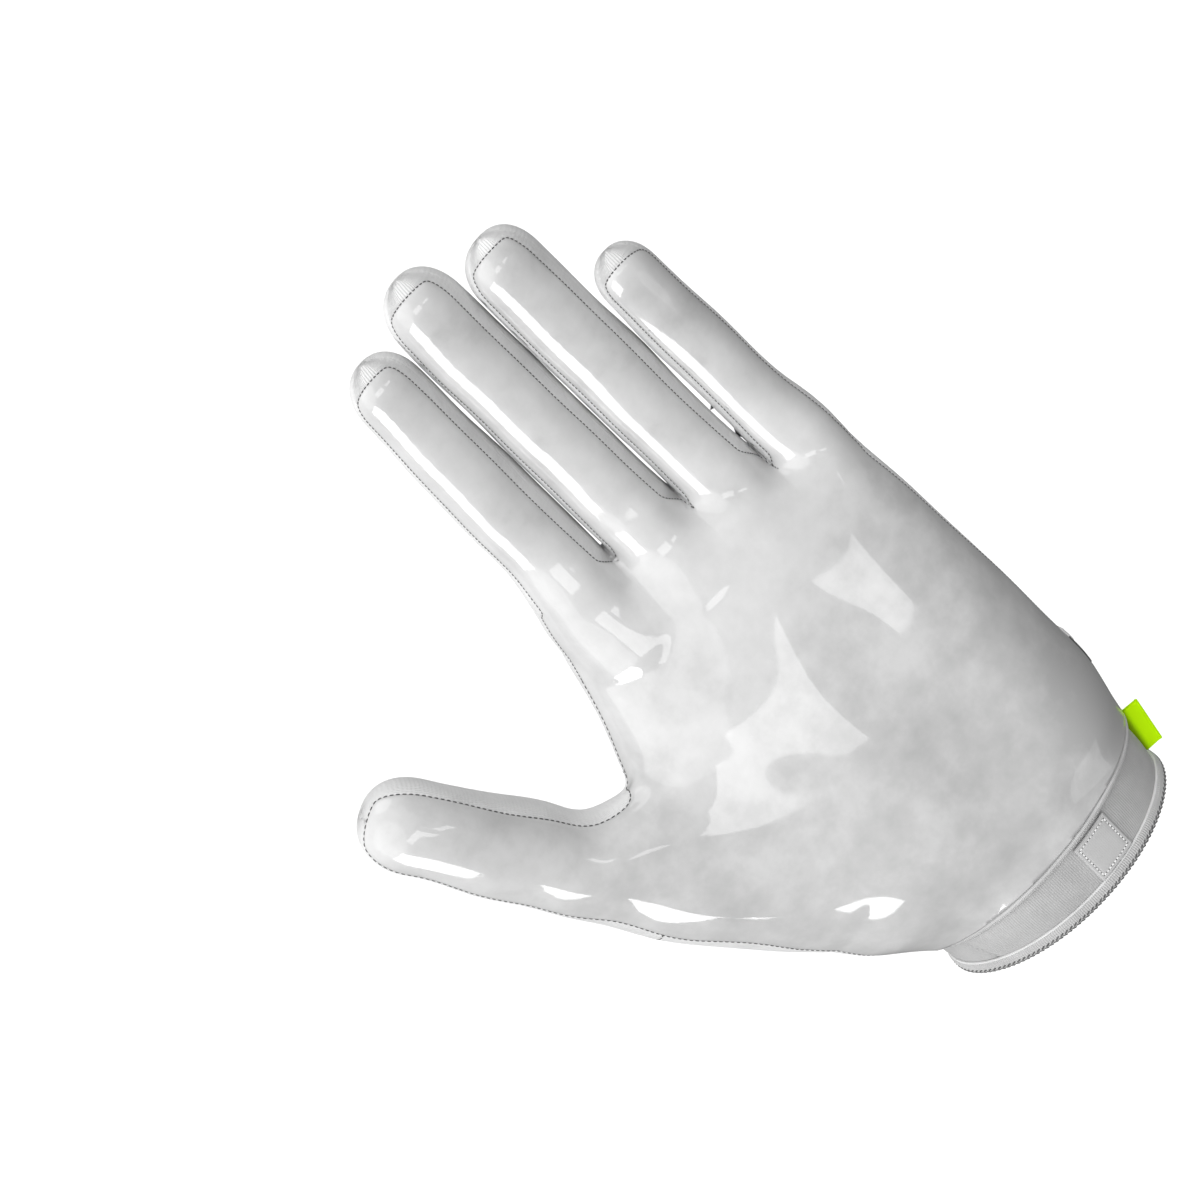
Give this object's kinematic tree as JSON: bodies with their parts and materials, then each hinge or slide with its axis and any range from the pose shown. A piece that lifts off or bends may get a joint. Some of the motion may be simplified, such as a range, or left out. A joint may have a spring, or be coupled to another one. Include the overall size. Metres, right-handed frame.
{
  "type": "football receiver glove",
  "caption": "Slip-on football receiver glove for the left hand, with a tacky palm panel, stretch fabric back and finger sides, and a snug wrist cuff with a pull tab.",
  "frame": {"origin": "middle of the cuff's opening, where the hand goes in", "axes": "+Z from the cuff to the fingertips, -Y out of the palm, +X towards the little finger"},
  "size_m": [0.1476, 0.0494, 0.2228],
  "materials": {
    "palm_leather": "glossy silicone coat",
    "back_fabric": "matte, fine ribs",
    "cuff_fabric": "satin, fine pebble",
    "gusset_fabric": "matte stretch knit",
    "piping": "smooth, rolled",
    "binding_tape": "matte ribbed tape",
    "label": "smooth satin",
    "tab_ribbon": "matte woven ribbon, neon green"
  },
  "bodies": {
    "root": {"palm_panel": "palm_leather", "back_panel": "back_fabric", "thumb_back": "back_fabric", "cuff_band": "cuff_fabric", "cuff_gusset": "gusset_fabric", "cuff_piping": "piping", "cuff_binding": "binding_tape", "cuff_label": "label", "pull_tab": "tab_ribbon"}
  },
  "joints": []
}
